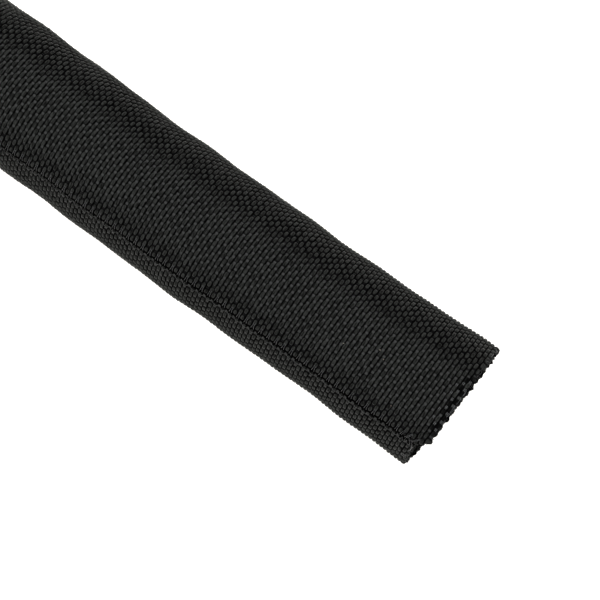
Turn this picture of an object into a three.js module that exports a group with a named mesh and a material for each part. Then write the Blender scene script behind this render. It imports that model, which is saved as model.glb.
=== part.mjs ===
// Woven cable sleeve: a strip of stiff cloth, split lengthwise, that closes on itself with a lap.
// Millimetres, +Z up. The sleeve lies along X with the cut end that is seen at +X.
// The origin is at the middle of its length, on the surface it lies on.
import * as THREE from 'three';

// The cut length, a length that such sleeving is sold in
const sleeveLength = 500;

// The bore that the cloth closes on, a little lower than it is wide, as a soft sleeve lies
const boreWidth = 37.2;
const boreHeight = 35.2;

// The cloth, and the slack between its two layers where they lap
const clothThickness = 1.0;
const lapClearance = 0.3;

// Round the section, in degrees: 0 is the top and 90 is the +Y side.
// The outer layer starts at its free edge, runs over the top and once round,
// and goes on beneath itself for the lap.
const freeEdgeAngle = -52;
const lapAngle = 95;
// How far past the covered edge the outer layer takes to come down by one layer
const settleAngle = 75;
// Width of one facet; one of them is centred on the bottom, and the sleeve rests on it
const facetAngle = 9;

// The cut end at +X opens by this share over this length
const flareShare = 0.025;
const flareLength = 32;
const flareSteps = 4;
const bodySteps = 4;

// The corner that the cut takes off the free edge, in degrees round and in length
const cornerAngle = 8;
const cornerDepth = 2.9;
// The cut runs out of square along the underside, so the covered layer ends short
const slantStartAngle = 120;
const slantEndAngle = 290;
const slantDepth = 3.3;

const sleeveColour = 0x1b1b1d;

const fullTurn = 360;
const bottomAngle = 180;
const coveredEdgeAngle = freeEdgeAngle + fullTurn + lapAngle;
const layerStep = clothThickness + lapClearance;

// A smooth step from 0 at low to 1 at high
function ease(low, high, value) {
  return THREE.MathUtils.smoothstep(value, low, high);
}

// The angles of the section's corners, from the free edge to the covered edge
function cornerAngles() {
  const least = facetAngle / 4;
  const angles = [freeEdgeAngle];
  const first = Math.ceil((freeEdgeAngle - bottomAngle) / facetAngle - 0.5);
  let angle = bottomAngle + (first + 0.5) * facetAngle;
  while (angle < coveredEdgeAngle - least) {
    if (angle > freeEdgeAngle + least) {
      angles.push(angle);
    }
    angle += facetAngle;
  }
  angles.push(coveredEdgeAngle);
  return angles;
}

// How far the inner face stands off the bore: one layer over the lap, nothing further round
function standOff(angle) {
  const lapEnd = freeEdgeAngle + lapAngle;
  return layerStep * (1 - ease(lapEnd, lapEnd + settleAngle, angle));
}

// A point of the section, at a height above the bore's own face
function sectionPoint(angle, height) {
  const turn = THREE.MathUtils.degToRad(angle);
  const reach = standOff(angle) + height;
  const across = (boreWidth / 2 + reach) * Math.sin(turn);
  const up = (boreHeight / 2 + reach) * Math.cos(turn);
  return new THREE.Vector2(across, up);
}

// How far the cut end at +X falls short of the full length, round the section
function cutShort(angle) {
  const corner = 1 - THREE.MathUtils.clamp((angle - freeEdgeAngle) / cornerAngle, 0, 1);
  return cornerDepth * corner + slantDepth * ease(slantStartAngle, slantEndAngle, angle);
}

// Where each step of the extrusion lies: long steps along the body, short ones in the flare
function stationAt(step) {
  const bodyLength = sleeveLength - flareLength;
  if (step <= bodySteps) {
    return (bodyLength * step) / bodySteps;
  }
  return bodyLength + (flareLength * (step - bodySteps)) / flareSteps;
}

// The sleeve: the lapped section run along the length, with its end opened and cut by formula
function sleeveGeometry() {
  const angles = cornerAngles();
  const outer = angles.map((angle) => sectionPoint(angle, clothThickness));
  const inner = angles.map((angle) => sectionPoint(angle, 0));
  const shape = new THREE.Shape([...outer, ...inner.slice().reverse()]);
  const steps = bodySteps + flareSteps;
  const geometry = new THREE.ExtrudeGeometry(shape, { depth: steps, steps, bevelEnabled: false });

  // The angle of every corner is looked up from its place in the section
  const angleOf = new Map();
  const keyOf = (across, up) => `${across.toFixed(3)} ${up.toFixed(3)}`;
  angles.forEach((angle, i) => {
    angleOf.set(keyOf(outer[i].x, outer[i].y), angle);
    angleOf.set(keyOf(inner[i].x, inner[i].y), angle);
  });

  const underside = Math.min(...outer.map((point) => point.y));
  const widths = outer.map((point) => point.x);
  const middle = (Math.min(...widths) + Math.max(...widths)) / 2;
  const position = geometry.getAttribute('position');
  for (let i = 0; i < position.count; i += 1) {
    const across = position.getX(i);
    const up = position.getY(i);
    const station = stationAt(Math.round(position.getZ(i)));
    const intoFlare = Math.max(0, (station - (sleeveLength - flareLength)) / flareLength);
    const short = cutShort(angleOf.get(keyOf(across, up))) * intoFlare;
    const opening = 1 + flareShare * ease(0, 1, intoFlare);
    const along = station - short - sleeveLength / 2;
    position.setXYZ(i, along, (across - middle) * opening, (up - underside) * opening);
  }
  geometry.computeVertexNormals();
  return geometry;
}

const sleeveMaterial = new THREE.MeshStandardMaterial({
  color: sleeveColour,
  roughness: 0.7,
  metalness: 0,
});

const sleeve = new THREE.Mesh(sleeveGeometry(), sleeveMaterial);
sleeve.name = 'woven_sleeve';

const group = new THREE.Group();
group.add(sleeve);

export default group;
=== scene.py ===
import math

import bpy
import numpy as np
from mathutils import Matrix, Vector


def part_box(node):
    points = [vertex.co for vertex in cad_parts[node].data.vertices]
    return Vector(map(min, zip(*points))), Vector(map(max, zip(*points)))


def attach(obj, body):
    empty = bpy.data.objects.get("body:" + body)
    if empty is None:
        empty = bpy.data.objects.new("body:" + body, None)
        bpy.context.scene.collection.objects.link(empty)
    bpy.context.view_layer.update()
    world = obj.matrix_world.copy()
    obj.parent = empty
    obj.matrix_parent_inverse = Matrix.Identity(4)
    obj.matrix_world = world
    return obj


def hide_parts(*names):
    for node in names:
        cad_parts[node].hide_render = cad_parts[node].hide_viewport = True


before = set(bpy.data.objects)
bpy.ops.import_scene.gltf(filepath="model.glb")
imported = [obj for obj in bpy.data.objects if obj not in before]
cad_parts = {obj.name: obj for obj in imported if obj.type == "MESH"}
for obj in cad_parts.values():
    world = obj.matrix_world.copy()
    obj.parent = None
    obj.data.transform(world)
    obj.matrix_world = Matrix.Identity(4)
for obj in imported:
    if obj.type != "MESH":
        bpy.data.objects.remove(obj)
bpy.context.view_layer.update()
bpy.ops.object.select_all(action="DESELECT")

# The woven cloth
# A strip of stiff polyester cloth in a plain weave, woven flat, heat-set to curl along its length
# and lapped over itself. Matt multifilament warps run along it, glossy pairs of filaments round it.
sleeve_low, sleeve_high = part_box("woven_sleeve")
sleeve_length = sleeve_high.x - sleeve_low.x
bore_width = 0.0372
bore_height = 0.0352
cloth_thickness = 0.001
lap_clearance = 0.0003
layer_step = cloth_thickness + lap_clearance

# Turns are degrees from the top. The woven edge stands out a little past the solid's free edge
full_turn = 360
solid_edge_turn = -52
woven_edge_past = 1.2
free_edge_turn = solid_edge_turn - woven_edge_past
lap_turn = 95
settle_turn = 75
strip_turn = full_turn + woven_edge_past + lap_turn

# The mouth flares, its corner at the free edge is cut back, and its cut slants round the far side
flare_share = 0.025
flare_length = 0.032
corner_turn = 8
corner_depth = 0.0029
slant_start_turn = 120
slant_end_turn = 290
slant_depth = 0.0033

# The lap opens a little towards the cut end, so the free edge creeps up there
lap_opening = 4.5
opening_start = -0.02
opening_end_turn = 110

# Soft cloth is never quite straight: it bows sideways and has slow dents. The rates are radians
# a metre along the sleeve
bow_depth = 0.00033
bow_middle = 0.158
bow_rate = 37
dent_depths = (0.00013, 0.0001, 0.0001)
dent_rates = (205, 331, 97)
dent_phases = (0.4, 2.1, 1.1)

# One hoop of the weft takes a column of the cloth, and one warp takes a row
hoop_count = 403
hoop_pitch = sleeve_length / hoop_count
warp_count = 125
turn_per_warp = strip_turn / warp_count
trim_hoops = 8


def ease(low, high, value):
    """A smooth step from 0 at low to 1 at high."""
    share = np.clip((value - low) / (high - low), 0, 1)
    return share * share * (3 - 2 * share)


def stand_off(turn):
    """How far the cloth stands off the bore: a layer over the lap, nothing further round."""
    lap_end = solid_edge_turn + lap_turn
    return layer_step * (1 - ease(lap_end, lap_end + settle_turn, turn))


def section(turn, height):
    """The sleeve's plain section before it is set on the floor: across and up."""
    angle = np.radians(turn)
    reach = stand_off(turn) + height
    return (bore_width / 2 + reach) * np.sin(angle), (bore_height / 2 + reach) * np.cos(angle)


section_samples = 900
section_turns = np.linspace(free_edge_turn, free_edge_turn + full_turn + lap_turn, section_samples)
section_across, section_up = section(section_turns, cloth_thickness)
section_middle = (section_across.min() + section_across.max()) / 2
section_underside = section_up.min()


def rolled(along, turn, height):
    """Points of the flat cloth on the closed sleeve: along X, degrees from the top, off the bore."""
    angle = np.radians(turn)
    opening = lap_opening * ease(opening_start, sleeve_high.x, along)
    opening = opening * (1 - ease(free_edge_turn, opening_end_turn, turn))
    across, up = section(turn + opening, height)
    # Each dent drifts round the sleeve in its own way, and none lifts the cloth off the floor
    drifts = (1.3 * np.sin(angle), -2.0 * np.cos(angle), 2 * angle)
    dents = 0
    for depth, rate, drift, phase in zip(dent_depths, dent_rates, drifts, dent_phases):
        dents = dents + depth * np.sin(along * rate + drift + phase)
    off_floor = 0.5 + 0.5 * np.cos(angle)
    bow = -bow_depth * np.cos((along - bow_middle) * bow_rate)
    wide = 1 + flare_share * ease(0, 1, (along - sleeve_high.x + flare_length) / flare_length)
    y = (across - section_middle + dents * np.sin(angle)) * wide + bow
    z = (up - section_underside + dents * np.cos(angle) * off_floor) * wide
    return np.stack([along + 0 * y, y, z], axis=-1)


def cut_short(turn):
    """How far the cut end falls short of the full length, round the section."""
    corner = 1 - np.clip((turn - free_edge_turn) / corner_turn, 0, 1)
    return corner_depth * corner + slant_depth * ease(slant_start_turn, slant_end_turn, turn)


def shortfall(hoops, turn, row_end=0.0):
    """How many hoops the cloth falls short at a place. Only the last few close up for the cut."""
    near_cut = ease(hoop_count - trim_hoops, hoop_count, hoops)
    return (cut_short(turn) / hoop_pitch - row_end) * near_cut


# Sizes of the weave in threads: a warp's crown is a barrel-shaped pill, wider than its row,
# and the weft shows between two pills as a square of a few filaments
pill_half_along = 0.43
pill_half_round = 0.73
pill_along_bulge = 2.4
pill_round_bulge = 4.2
pill_crown_power = 0.42
filament_offset = 0.14
filament_half = 0.15
weft_half_round = 0.62
edge_row_squeeze = 1.5
edge_warp = -0.45
weft_edge_warp = 0.3

# Their heights in metres, and how much one crown's height differs from the next
pill_rise = 0.00036
weft_rise = 0.00002
crown_spread = np.random.default_rng(7).uniform(0.84, 1.10, (hoop_count + 2, warp_count + 2))


def pill_dome(side, reach):
    """A pill's form in its own threads: 1 on its crown and 0 from its rim out."""
    rim = np.abs(side / pill_half_along) ** pill_along_bulge
    rim += np.abs(reach / pill_half_round) ** pill_round_bulge
    return np.clip(1 - rim, 0, 1) ** pill_crown_power


def weave_height(hoops, warps):
    """How far the cloth's face rises above its gaps at a place counted in threads."""
    # The pills of the first row are shorter on their outer side
    warps = np.where(warps < 0.5, 0.5 + (warps - 0.5) * edge_row_squeeze, warps)
    column = np.floor(hoops)
    side = hoops - column - 0.5
    beat = np.mod(warps - 0.5 - np.mod(column, 2) + 1, 2) - 1
    row = np.rint(warps - beat - 0.5)
    spread = crown_spread[
        np.clip(column, 0, hoop_count).astype(int), np.clip(row, 0, warp_count).astype(int)
    ]
    pill = pill_rise * spread * pill_dome(side, beat) * (row >= 0)
    ridge = np.clip(1 - ((np.abs(side) - filament_offset) / filament_half) ** 2, 0, 1) ** 0.5
    crown = np.cos(np.clip((1 - np.abs(beat)) / weft_half_round, 0, 1) * math.pi / 2)
    weft = weft_rise * ridge * crown * ease(0, weft_edge_warp, warps)
    return np.maximum(pill, weft)


def thread_marks(first, last, offsets):
    """Where the mesh has its lines, in threads, from first to last with the same ones in each."""
    marks = [thread + offset for thread in range(first, last) for offset in offsets]
    return np.array(marks + [last], float)


def grid_piece(name, columns, rows):
    """A flat grid of lines, its size in lines, as an object of that name with smooth faces."""
    bpy.ops.mesh.primitive_grid_add(x_subdivisions=columns - 1, y_subdivisions=rows - 1, size=1)
    piece = bpy.context.object
    piece.name = name
    piece.data.name = name
    bpy.ops.object.shade_smooth()
    return piece


def lay_grid(piece, columns, rows, place, threads, smooth_place, way=1):
    """Moves a grid's corners to place, and writes their thread counts to its UV map.

    The way that the cloth faces without its weave is kept in an attribute, for the glossy weft.
    """
    mesh = piece.data
    flat = np.zeros(len(mesh.vertices) * 3, np.float32)
    mesh.vertices.foreach_get("co", flat)
    flat = flat.reshape(-1, 3)
    column = np.rint((flat[:, 0] + 0.5) * (columns - 1)).astype(int)
    row = np.rint((flat[:, 1] + 0.5) * (rows - 1)).astype(int)
    mesh.vertices.foreach_set("co", place[column, row].astype(np.float32).ravel())
    corner = np.zeros(len(mesh.loops), np.int32)
    mesh.loops.foreach_get("vertex_index", corner)
    facing = way * np.cross(np.gradient(smooth_place, axis=0), np.gradient(smooth_place, axis=1))
    facing /= np.maximum(np.linalg.norm(facing, axis=2, keepdims=True), 1e-12)
    cloth_normal = mesh.attributes.new("cloth_normal", "FLOAT_VECTOR", "POINT")
    cloth_normal.data.foreach_set("vector", facing[column, row].astype(np.float32).ravel())
    uv = mesh.uv_layers.active
    uv.name = "threads"
    uv.data.foreach_set("uv", threads[column, row][corner].astype(np.float32).ravel())
    mesh.update()


# The rim where the cloth ends: how far past its edge each line lies, in threads, and how far
# down, as a share of the cloth. It is narrower along the strip's two long edges, and at a cut
# end it bulges with every warp
rim_past = np.array([0.25, 0.55, 0.62, 0.45, 0.1, -1.0])
rim_down = np.array([0.06, 0.28, 0.55, 0.82, 0.97, 1.0])
rim_round_share = 0.5
rim_end_least = 0.15
rim_end_bead = 0.75

# Where the mesh has its lines in a thread. Near the cut end they are fine from the free edge over
# the top, and on the layer that comes out under that edge. The lap covers the last rows
fine_marks = (0.0, 0.13, 0.33, 0.67, 0.87)
fine_round = (0.0, 0.12, 0.22, 0.78, 0.88)
coarse_marks = (0.0, 0.5)
seen_top_end = 42
seen_side_start = 84
seen_side_end = 102
covered_lines = 8

# Every warp is cut at its own length, and the last threads' colour runs on down the rim
end_fray = np.random.default_rng(11)
fray_least = -0.12
fray_most = 0.22
colour_first = 0.4
colour_last = 0.22


def cloth_panel(name, first, last, along_marks, round_marks, rim_at=None):
    """The cloth's outer face between two hoops, rolled up, with its rims turned in."""
    hoops = thread_marks(first, last, along_marks)
    rim = len(rim_past)
    warps = np.concatenate(
        [
            [edge_warp],
            thread_marks(0, seen_top_end, round_marks)[:-1],
            thread_marks(seen_top_end, seen_side_start, coarse_marks)[:-1],
            thread_marks(seen_side_start, seen_side_end, round_marks)[:-1],
            np.linspace(seen_side_end, warp_count, covered_lines),
        ]
    )
    down_hoops = np.zeros(len(hoops))
    past_hoops = np.zeros(len(hoops))
    if rim_at == last:
        hoops = np.append(hoops, np.full(rim, float(last)))
        down_hoops = np.append(down_hoops, rim_down)
        past_hoops = np.append(past_hoops, rim_past)
    elif rim_at == first:
        hoops = np.append(np.full(rim, float(first)), hoops)
        down_hoops = np.append(rim_down[::-1], down_hoops)
        past_hoops = np.append(-rim_past[::-1], past_hoops)
    down_warps = np.concatenate([rim_down[::-1], np.zeros(len(warps)), rim_down])
    past_warps = np.concatenate([-rim_past[::-1], np.zeros(len(warps)), rim_past])
    warps = np.concatenate([np.full(rim, edge_warp), warps, np.full(rim, float(warp_count))])
    grid_hoops, grid_warps = np.meshgrid(hoops, warps, indexing="ij")
    down = np.maximum(down_hoops[:, None], down_warps[None, :])
    turn = free_edge_turn + (grid_warps + past_warps[None, :] * rim_round_share) * turn_per_warp

    # At the rim a warp's end is a bead
    ends = end_fray.uniform(fray_least, fray_most, warp_count + 2)
    row_end = np.interp(grid_warps, np.arange(warp_count + 2) + 0.5, ends)
    bead = 0.5 + 0.5 * np.cos(math.pi * (grid_warps - 0.5))
    short = shortfall(grid_hoops, turn, row_end)
    shown = grid_hoops - short
    past = past_hoops[:, None] * (rim_end_least + rim_end_bead * bead)
    along = sleeve_low.x + (shown + past) * hoop_pitch
    height = (cloth_thickness - pill_rise + weave_height(shown, grid_warps)) * (1 - down)
    place = rolled(along, turn, height)
    smooth_place = rolled(along, turn, cloth_thickness + 0 * height)
    threads = np.stack(
        [np.clip(shown, colour_first, hoop_count - short - colour_last), grid_warps], axis=-1
    )
    piece = grid_piece(name, *grid_hoops.shape)
    lay_grid(piece, *grid_hoops.shape, place, threads, smooth_place)
    return piece


# The cloth near the cut end has finer lines than the rest, and is in narrower panels
near_start = 271
near_count = 3
near_width = (hoop_count - near_start) // near_count
near_panels = []
for panel in range(near_count):
    last_hoop = hoop_count - panel * near_width
    first_hoop = last_hoop - near_width
    panel_name = f"cloth_near_{panel + 1}"
    near_panels.append(
        cloth_panel(panel_name, first_hoop, last_hoop, fine_marks, fine_round, rim_at=hoop_count)
    )
far_middle = near_start // 2
far_panels = [
    cloth_panel("cloth_far_1", 0, far_middle, coarse_marks, coarse_marks, rim_at=0),
    cloth_panel("cloth_far_2", far_middle, near_start, coarse_marks, coarse_marks),
]


class Value:
    """A number or colour at one place of a node tree. Sums on it add Math nodes."""

    def __init__(self, finish, socket):
        self.finish = finish
        self.socket = socket

    def __add__(self, other):
        return self.finish.maths("ADD", self, other)

    def __radd__(self, other):
        return self.finish.maths("ADD", other, self)

    def __sub__(self, other):
        return self.finish.maths("SUBTRACT", self, other)

    def __rsub__(self, other):
        return self.finish.maths("SUBTRACT", other, self)

    def __mul__(self, other):
        return self.finish.maths("MULTIPLY", self, other)

    def __rmul__(self, other):
        return self.finish.maths("MULTIPLY", other, self)

    def __truediv__(self, other):
        return self.finish.maths("DIVIDE", self, other)

    def __pow__(self, other):
        return self.finish.maths("POWER", self, other)


class Finish:
    """A new material, and the ways to add nodes to it."""

    def __init__(self, name):
        self.material = bpy.data.materials.new(name)
        self.material.use_nodes = True
        self.tree = self.material.node_tree
        self.tree.nodes.clear()

    def node(self, kind, settings=None, **inputs):
        """A node of a kind, with its settings set first and then its inputs, by name or _index."""
        made = self.tree.nodes.new(kind)
        for key, value in (settings or {}).items():
            setattr(made, key, value)
        for key, value in inputs.items():
            index = int(key[1:]) if key[0] == "_" and key[1:].isdigit() else key.replace("_", " ")
            socket = made.inputs[index]
            if isinstance(value, Value):
                self.tree.links.new(value.socket, socket)
            else:
                socket.default_value = value
        return made

    def out(self, made, name=0):
        """What comes out of a node, by its socket's name or number."""
        return Value(self, made.outputs[name])

    def maths(self, operation, *values):
        """A Math node on numbers and values, in the order of its sockets."""
        inputs = {f"_{order}": value for order, value in enumerate(values)}
        return self.out(self.node("ShaderNodeMath", {"operation": operation}, **inputs))

    def smooth(self, value, low, high):
        """A smooth step from 0 at low to 1 at high, which may be the smaller of the two."""
        settings = {"interpolation_type": "SMOOTHSTEP"}
        return self.out(self.node("ShaderNodeMapRange", settings, _0=value, _1=low, _2=high))

    def blend(self, share, first, second):
        """A mix of two colours."""
        made = self.node("ShaderNodeMix", {"data_type": "RGBA"}, _0=share, _6=first, _7=second)
        return self.out(made, 2)

    def noise(self, vector, scale, detail=2.0):
        """Soft noise around a half."""
        return self.out(self.node("ShaderNodeTexNoise", Vector=vector, Scale=scale, Detail=detail))

    def vector(self, x, y):
        """A place in a flat pattern."""
        return self.out(self.node("ShaderNodeCombineXYZ", X=x, Y=y))

    def mix_shaders(self, share, first, second):
        """The first shader where the share is 0, the second where it is 1."""
        shaders = {"_1": self.out(first), "_2": self.out(second)}
        return self.node("ShaderNodeMixShader", _0=share, **shaders)

    def surface(self, shader):
        """The material, with this shader as its surface."""
        self.node("ShaderNodeOutputMaterial", Surface=shader)
        return self.material


# The colours of the threads, of the gaps between them (painted shade in the recesses), and of the
# fuzz that stands off them
pill_dark = (0.0004, 0.0004, 0.0003, 1)
pill_light = (0.0142, 0.0149, 0.0140, 1)
weft_dark = (0.0006, 0.0006, 0.0007, 1)
weft_light = (0.0016, 0.0017, 0.0019, 1)
weft_glint_tint = (0.96, 1.0, 0.97, 1)
gap_painted_shade = (0.0004, 0.0004, 0.0004, 1)
fuzz_tint = (0.97, 1.0, 0.94, 1)

# How their tones vary: each pill by itself, along its fibre streaks, and in slow clouds
pill_tone_middle = 0.58
pill_shade_gain = 0.26
streak_gain = 2.8
cloud_gain = 0.2
weft_tone_middle = 0.5
weft_shade_gain = 0.8
# The last gain lifts the weft's colour along the cut end as a painted glint
bare_weft_painted_glint_gain = 30.0

# How far a pill sits off its place, and where a filament pair ends, in threads
off_place_along = 0.14
off_place_round = 0.18
strand_edge = 0.29
strand_end = 0.36

# How many streaks and clouds there are in a thread each way. The streaks slant a little
streaks_along = 3.4
streaks_round = 0.7
streak_slant = 0.4
clouds_along = 0.06
clouds_round = 0.09

# The depths of the bumps in metres, and the weft's and the streaks' share of them
fibre_bump = 0.00022
weft_bump_depth = 0.001
weft_level = 0.40
weft_ridge = 0.22
streak_relief = 0.22


def woven_finish(name):
    """Black plain weave from the thread counts: matt pills, glossy filament pairs, and black gaps
    painted as the shade in the recesses between them.
    """
    finish = Finish(name)
    uv = finish.out(finish.node("ShaderNodeUVMap", {"uv_map": "threads"}))
    parts = finish.node("ShaderNodeSeparateXYZ", Vector=uv)
    hoops = finish.out(parts, 0)
    warps = finish.out(parts, 1)
    column = finish.maths("FLOOR", hoops)
    side = finish.maths("ABSOLUTE", hoops - column - 0.5)
    odd = finish.maths("FLOORED_MODULO", column, 2.0)
    squeezed = finish.maths("MINIMUM", warps, 0.5 + (warps - 0.5) * edge_row_squeeze)
    beat = finish.maths("WRAP", squeezed - 0.5 - odd, 1.0, -1.0)
    past_row = odd * finish.maths("LESS_THAN", warps, 0.5)
    reach = finish.maths("MAXIMUM", finish.maths("ABSOLUTE", beat), past_row)
    # Past the first warp, over the rim of the free edge, everything takes the painted gap shade
    inside = finish.smooth(warps, -0.12, 0.05)

    # Every pill has its own shade, and sits a little off its place
    pill_row = finish.maths("ROUND", squeezed - beat)
    pill_place = finish.vector(column, pill_row)
    own = finish.node("ShaderNodeTexWhiteNoise", {"noise_dimensions": "2D"}, Vector=pill_place)
    shade = finish.out(own)
    own_parts = finish.node("ShaderNodeSeparateColor", Color=finish.out(own, 1))
    off_side = (finish.out(own_parts, 0) - 0.5) * off_place_along
    off_round = (finish.out(own_parts, 1) - 0.5) * off_place_round
    pill_side = finish.maths("ABSOLUTE", hoops - column - 0.5 + off_side)
    pill_reach = finish.maths("MAXIMUM", finish.maths("ABSOLUTE", beat + off_round), past_row)
    rim = (pill_side / pill_half_along) ** pill_along_bulge
    rim = rim + (pill_reach / pill_half_round) ** pill_round_bulge
    dome = finish.maths("MAXIMUM", 1.0 - rim, 0.0) ** pill_crown_power * inside
    ridge_square = ((side - filament_offset) / filament_half) ** 2.0
    ridge = finish.maths("MAXIMUM", 1.0 - ridge_square, 0.0) ** 0.5
    strand = finish.smooth(side, strand_end, strand_edge)
    crown = finish.smooth(reach, 0.30, 0.90)
    weft = strand * crown * (ridge * weft_ridge + weft_level) * inside
    height = finish.maths("MAXIMUM", dome, weft)

    # The fibres of a pill run round with it as fine streaks
    slanted = hoops * streaks_along + warps * streak_slant
    streaks = finish.noise(finish.vector(slanted, warps * streaks_round), 1.0, 1.0)
    cloud = finish.noise(finish.vector(hoops * clouds_along, warps * clouds_round), 1.0)
    pill_height = height + (streaks - 0.5) * streak_relief * dome

    # Along the cut end the last crowns hang down out of the light. This is painted as shade that
    # turns them to the black gap finish, and the bare weft between them gets a painted glint, its
    # colour lifted to its lightest
    last_rows = finish.smooth(hoops, hoop_count - 2.4, hoop_count - 1.4)
    bare_side = finish.smooth(warps, 2.0, 6.0) * finish.smooth(warps, 21.0, 17.0)
    cut_painted_shade_and_glint = last_rows * bare_side * finish.smooth(shade, 0.95, 0.55)

    pill_tone = pill_tone_middle + (shade - 0.5) * pill_shade_gain
    pill_tone = pill_tone + (streaks - 0.5) * streak_gain + (cloud - 0.5) * cloud_gain
    pill_bump = finish.node("ShaderNodeBump", Strength=1.0, Distance=fibre_bump, Height=pill_height)
    pill_shader = finish.node(
        "ShaderNodeBsdfPrincipled",
        Base_Color=finish.blend(pill_tone, pill_dark, pill_light),
        Roughness=0.85 + (streaks - 0.5) * 0.2,
        Normal=finish.out(pill_bump),
        Specular_IOR_Level=0.05,
        Sheen_Weight=0.065,
        Sheen_Roughness=0.4,
        Sheen_Tint=fuzz_tint,
    )

    # Along the cut end the weft's colour is lifted as a painted glint
    weft_tone = weft_tone_middle + (shade - 0.5) * weft_shade_gain + cut_painted_shade_and_glint * bare_weft_painted_glint_gain
    facing = finish.out(finish.node("ShaderNodeAttribute", {"attribute_name": "cloth_normal"}), 1)
    hump = (1.0 - reach) ** 2.0 * -0.2 + ridge * 0.03
    weft_bump = finish.node(
        "ShaderNodeBump", Strength=1.0, Distance=weft_bump_depth, Height=hump, Normal=facing
    )
    weft_shader = finish.node(
        "ShaderNodeBsdfPrincipled",
        Base_Color=finish.blend(weft_tone, weft_dark, weft_light),
        Roughness=0.24 - (shade - 0.5) * 0.1,
        Normal=finish.out(weft_bump),
        Specular_IOR_Level=0.18,
        Specular_Tint=weft_glint_tint,
    )

    # The gaps are painted shade: a near-black finish where the recesses between the yarns fall dark.
    # Seen edge-on, the fuzz of the yarns closes the gaps, so they pale there
    painted_gap_shade_shader = finish.node(
        "ShaderNodeBsdfPrincipled",
        Base_Color=gap_painted_shade,
        Roughness=1.0,
        Normal=facing,
        Specular_IOR_Level=0.0,
        Sheen_Weight=0.24,
        Sheen_Roughness=0.24,
        Sheen_Tint=fuzz_tint,
    )

    # Where neither a pill nor a weft square shows, the yarns give way to the painted shade of the
    # gaps
    on_weft = finish.smooth(reach, pill_half_round - 0.06, pill_half_round)
    # Along the cut end painted shade fades the crowns towards the black gap finish
    on_pill = finish.smooth(rim, 0.86, 0.58) * inside * (1.0 - cut_painted_shade_and_glint * 0.85)
    yarn_not_painted_shade = finish.maths("MAXIMUM", on_pill, on_weft * strand * inside)
    yarns = finish.mix_shaders(on_weft, pill_shader, weft_shader)
    return finish.surface(finish.out(finish.mix_shaders(yarn_not_painted_shade, painted_gap_shade_shader, yarns)))


cloth_finish = woven_finish("black_plain_weave")
for panel in [*near_panels, *far_panels]:
    panel.data.materials.append(cloth_finish)
    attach(panel, "root")
    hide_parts("woven_sleeve")

# The cloth's inner face
# The back of the same cloth, seen in the mouth and at the far end, with its edges under the outer
# face's rims. On the back warps and wefts change places, so the pattern is one row on. The mesh
# has a line at every hoop in the mouth, and at every fourth one deeper in.
mouth_start = 360
deep_step = 4
deep_hoops = np.arange(0, mouth_start, deep_step)
inside_hoops = np.concatenate([deep_hoops, thread_marks(mouth_start, hoop_count, (0.0,))])
inside_warps = thread_marks(0, warp_count, (0.0,))
hoops_in, warps_in = np.meshgrid(inside_hoops, inside_warps, indexing="ij")
turns_in = free_edge_turn + warps_in * turn_per_warp
shown_in = hoops_in - shortfall(hoops_in, turns_in)
threads_in = np.stack([shown_in, warps_in + 1], axis=-1)
inner_face = rolled(sleeve_low.x + shown_in * hoop_pitch, turns_in, 0 * turns_in)
inside = grid_piece("cloth_inside", *hoops_in.shape)
lay_grid(inside, *hoops_in.shape, inner_face, threads_in, inner_face, way=-1)
bpy.ops.object.mode_set(mode="EDIT")
bpy.ops.mesh.select_all(action="SELECT")
bpy.ops.mesh.flip_normals()
bpy.ops.object.mode_set(mode="OBJECT")
inside.data.materials.append(cloth_finish)
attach(inside, "root")
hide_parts("woven_sleeve")

# The woven edge
# Every second hoop comes out over the outermost warp as a pair of bare filaments, turns at the
# edge and is caught there by a thin thread, whose stitches lock along the edge as a wavy chain.
edge_random = np.random.default_rng(23)
filament_radius = 0.00005
catch_thread_radius = 0.000065


def at_threads(hoops, warps, height):
    """The place of a point that is counted in threads, at a height over the cloth's inner face."""
    turn = free_edge_turn + warps * turn_per_warp
    return rolled(sleeve_low.x + (hoops - shortfall(hoops, turn)) * hoop_pitch, turn, height)


def strands(name, paths, radius):
    """Thin round threads along paths, as one mesh with its ends closed."""
    bpy.ops.object.select_all(action="DESELECT")
    bpy.ops.curve.primitive_nurbs_path_add()
    curve = bpy.context.object
    curve.name = name
    curve.data.splines.clear()
    for path in paths:
        spline = curve.data.splines.new("POLY")
        spline.points.add(len(path) - 1)
        flat = np.ones((len(path), 4))
        flat[:, :3] = path
        spline.points.foreach_set("co", flat.ravel())
    curve.data.dimensions = "3D"
    curve.data.bevel_depth = radius
    curve.data.bevel_resolution = 1
    curve.data.use_fill_caps = True
    bpy.ops.object.convert(target="MESH")
    piece = bpy.context.object
    piece.name = name
    piece.data.name = name
    bpy.ops.object.shade_smooth()
    return piece


def thread_finish(name, dark, light, roughness, specular, scale):
    """A thread's finish: mottled along its length, with a gloss that comes and goes."""
    finish = Finish(name)
    place = finish.out(finish.node("ShaderNodeTexCoord"), "Object")
    mottle = finish.noise(place, scale)
    fine = finish.noise(place, scale * 4)
    share = finish.smooth(mottle + (fine - 0.5) * 0.8, 0.32, 0.68)
    bump = finish.node("ShaderNodeBump", Strength=0.6, Distance=0.00003, Height=fine)
    shader = finish.node(
        "ShaderNodeBsdfPrincipled",
        Base_Color=finish.blend(share, dark, light),
        Roughness=roughness + (fine - 0.5) * 0.2,
        Normal=finish.out(bump),
        Specular_IOR_Level=specular,
    )
    return finish.surface(finish.out(shader))


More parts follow.
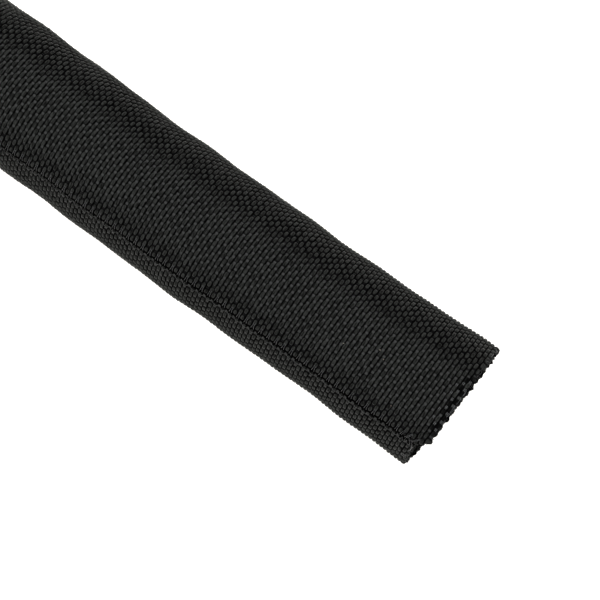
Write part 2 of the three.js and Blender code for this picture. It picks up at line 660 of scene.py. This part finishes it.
# One filament of a pair, from over its warp to the turn at the edge: how far it stands from the
# pair's middle in hoops, where it is in warps, and its height in cloth thicknesses
hairpin_spread = np.array([0.10, 0.15, 0.20, 0.26, 0.30, 0.24])
hairpin_warps = np.array([1.8, 1.3, 0.65, 0.1, -0.30, -0.5])
hairpin_rise = np.array([0.72, 1.0, 1.06, 0.96, 0.68, 0.35])
hairpins = []
for hoop in range(1, hoop_count, 2):
    lean = edge_random.uniform(-0.05, 0.05)
    for hand in (-1, 1):
        spread = edge_random.uniform(0.9, 1.15)
        hoops = hoop + 0.5 + lean + hand * hairpin_spread * spread
        warps = hairpin_warps + edge_random.uniform(-0.06, 0.06)
        hairpins.append(at_threads(hoops, warps, hairpin_rise * cloth_thickness))
hairpin_pairs = strands("selvedge_filaments", hairpins, filament_radius)

# The chain swings out and back once in two hoops, and each stitch leans over the next
chain_step = 0.2
chain_middle = -0.98
chain_swing = 0.40
stitch_lean = 0.30
stitch_height = 0.66
stitch_rise = 0.2
chain_hoops = np.arange(1.0, hoop_count - 1, chain_step)
chain_jitter = edge_random.uniform(-0.08, 0.08, len(chain_hoops))
chain_sine = np.sin(math.pi * chain_hoops)
chain_cosine = np.cos(math.pi * chain_hoops)
chain = at_threads(
    chain_hoops + stitch_lean * chain_cosine,
    chain_middle + chain_swing * chain_sine + chain_jitter,
    (stitch_height + stitch_rise * chain_cosine) * cloth_thickness,
)
selvedge_chain = strands("selvedge_chain", [chain], catch_thread_radius)

filament_finish = thread_finish(
    "glossy_black_filament",
    dark=(0.007, 0.0074, 0.0084, 1),
    light=(0.026, 0.027, 0.029, 1),
    roughness=0.36,
    specular=0.40,
    scale=900,
)
chain_finish = thread_finish(
    "grey_black_catch_thread",
    dark=(0.003, 0.0031, 0.0032, 1),
    light=(0.026, 0.0265, 0.0265, 1),
    roughness=0.6,
    specular=0.2,
    scale=700,
)
hairpin_pairs.data.materials.append(filament_finish)
selvedge_chain.data.materials.append(chain_finish)
for piece in (hairpin_pairs, selvedge_chain):
    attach(piece, "root")

# The cut end
# Cut across with shears, so every warp ends in a short brush of fibres, and the last hoops of
# the weft are loose: their filaments stand off the end in small bows.
end_random = np.random.default_rng(31)
fibre_radius = 0.00007
brush_start = hoop_count - 0.3
brush_fibres = 5
tufts = []
for warp in range(warp_count):
    for fibre in range(brush_fibres):
        side = end_random.uniform(-0.36, 0.36)
        length = end_random.uniform(0.3, 0.75)
        splay = side * end_random.uniform(1.0, 1.5)
        height = end_random.uniform(0.15, 0.9)
        tip_rise = end_random.uniform(-0.12, 0.08)
        hoops = brush_start + length * np.array([0.0, 0.5, 1.0])
        warps = warp + 0.5 + np.array([side, side * 1.05, splay])
        heights = (height + np.array([0.0, 0.02, tip_rise])) * cloth_thickness
        tufts.append(at_threads(hoops, warps, heights))
end_tufts = strands("cut_end_fibres", tufts, fibre_radius)

# Bows that stand off the end, anywhere round the part of it that shows
bow_count = 40
bow_last_warp = 112
bow_arch = 1 - np.linspace(-1, 1, 7) ** 2
bows = []
for bow in range(bow_count):
    middle = end_random.uniform(0.5, bow_last_warp)
    span = end_random.uniform(0.5, 1.1)
    bulge = end_random.uniform(0.1, 0.5)
    height = end_random.uniform(0.35, 0.95)
    hoops = brush_start + bulge * bow_arch
    warps = middle + span * np.linspace(-1, 1, 7)
    bows.append(at_threads(hoops, warps, (height + 0.1 * bow_arch) * cloth_thickness))

# Bare filaments in the last three hoops, between crowns that have slipped off
bare_hoops = 3
bare_first_warp = 5
bare_end_warp = 18
crown_share = 0.3
share = np.linspace(-1, 1, 5)
for column in range(hoop_count - bare_hoops, hoop_count):
    for warp in range(bare_first_warp, bare_end_warp):
        if (warp + column) % 2 == 0 or end_random.uniform() < crown_share:
            continue
        for offset in (-0.14, 0.12):
            hoops = column + 0.5 + offset + end_random.uniform(-0.03, 0.03) + 0 * share
            warps = warp + 0.5 + end_random.uniform(0.3, 0.5) * share
            heights = (0.98 - 0.25 * share**2) * cloth_thickness
            bows.append(at_threads(hoops, warps, heights))
end_bows = strands("cut_end_weft_bows", bows, filament_radius)

fibre_finish = thread_finish(
    "matt_black_fibre",
    dark=(0.002, 0.002, 0.002, 1),
    light=(0.014, 0.014, 0.0135, 1),
    roughness=0.7,
    specular=0.10,
    scale=1500,
)
end_tufts.data.materials.append(fibre_finish)
end_bows.data.materials.append(filament_finish)
for piece in (end_tufts, end_bows):
    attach(piece, "root")

# Loose filaments and lint
# A few weft filaments have slipped out at the cut end, most at its corners, where they lie in open
# loops. Some specks of pale lint cling to the cloth.
slipped_radius = 0.00006
lint_radius = 0.00003
around = np.linspace(0.3, 5.6, 12)
side_ring = at_threads(
    hoop_count - 0.8 + 0.42 * np.cos(around),
    93.7 + 0.42 * np.sin(around),
    (1.1 + 0 * around) * cloth_thickness,
)
sweep = np.linspace(0, 1, 9)
long_tail = at_threads(
    hoop_count - 1.4 + 1.3 * np.sin(sweep * math.pi * 0.62),
    0.6 - 3.4 * sweep,
    (1.05 - 0.9 * sweep) * cloth_thickness,
)
short_tail = at_threads(
    hoop_count - 2.6 + 1.5 * np.sin(sweep * math.pi * 0.7),
    0.4 - 2.0 * sweep,
    (1.0 - 0.6 * sweep) * cloth_thickness,
)
end_arch = at_threads(
    hoop_count - 0.6 + 1.0 * np.sin(sweep * math.pi),
    24.0 + 1.3 * sweep,
    (0.9 + 0.1 * np.sin(sweep * math.pi)) * cloth_thickness,
)
slipped = [side_ring, long_tail, short_tail, end_arch]
loose_filaments = strands("loose_filaments", slipped, slipped_radius)
loose_filaments.data.materials.append(filament_finish)

speck_places = ((375.8, 9.0), (383.0, 12.2), (384.8, 11.0), (391.8, 4.0))
speck_along = np.array([-0.1, 0.0, 0.1])
speck_rise = np.array([0.98, 1.06, 0.99])
specks = []
for hoop, warp in speck_places:
    bend = end_random.uniform(-0.1, 0.1, len(speck_along))
    specks.append(at_threads(hoop + speck_along, warp + bend, speck_rise * cloth_thickness))
lint = strands("lint_specks", specks, lint_radius)
lint_finish = thread_finish(
    "pale_lint",
    dark=(0.24, 0.17, 0.14, 1),
    light=(0.42, 0.40, 0.34, 1),
    roughness=0.8,
    specular=0.2,
    scale=260,
)
lint.data.materials.append(lint_finish)
for piece in (loose_filaments, lint):
    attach(piece, "root")

# The studio
# A plain pale floor under one broad soft light. Where the light ends, the glossy weft stops
# mirroring it, so its squares are bright on the top of the sleeve and black down the side.
floor_size = 6
bpy.ops.mesh.primitive_plane_add(size=floor_size)
floor = bpy.context.object
floor.name = "studio_floor"
floor_finish = Finish("pale_floor")
floor_shader = floor_finish.node(
    "ShaderNodeBsdfPrincipled",
    Base_Color=(0.68, 0.665, 0.64, 1),
    Roughness=0.8,
    Emission_Color=(1.0, 0.98, 0.95, 1),
    Emission_Strength=0.45,
)
floor.data.materials.append(floor_finish.surface(floor_finish.out(floor_shader)))

# An area light looks straight down as it is added
light_place = (0.20, -0.38, 1.0)
light_power = 86
bpy.ops.object.light_add(type="AREA", location=light_place)
overhead = bpy.context.object
overhead.name = "overhead"
overhead.data.shape = "RECTANGLE"
overhead.data.size = 2.7
overhead.data.size_y = 2.85
overhead.data.energy = light_power

world = bpy.data.worlds.new("studio")
bpy.context.scene.world = world
world.use_nodes = True
world_light = world.node_tree.nodes["Background"]
world_light.inputs["Color"].default_value = (1, 1, 1, 1)
world_light.inputs["Strength"].default_value = 0.05
bpy.context.scene.view_settings.view_transform = "Standard"

# The camera, from nearly overhead, as the photograph was taken
camera_azimuth = math.radians(35.03)
camera_elevation = math.radians(77.72)
camera_roll = math.radians(1.566)
camera_distance = 0.4936
camera_aim = Vector((0.1978, -0.0003, 0.0197))
frame_pixels = 600
focal_pixels = 1785
sensor_width = 36
back = Vector(
    (
        math.sin(camera_azimuth) * math.cos(camera_elevation),
        -math.cos(camera_azimuth) * math.cos(camera_elevation),
        math.sin(camera_elevation),
    )
)
bpy.ops.object.camera_add(location=camera_aim + back * camera_distance)
camera = bpy.context.object
turned = (-back).to_track_quat("-Z", "Y").to_matrix() @ Matrix.Rotation(camera_roll, 3, "Z")
camera.rotation_euler = turned.to_euler()
camera.data.sensor_width = sensor_width
camera.data.lens = sensor_width * focal_pixels / frame_pixels
camera.data.clip_start = 0.01
camera.data.clip_end = 20
bpy.context.scene.camera = camera
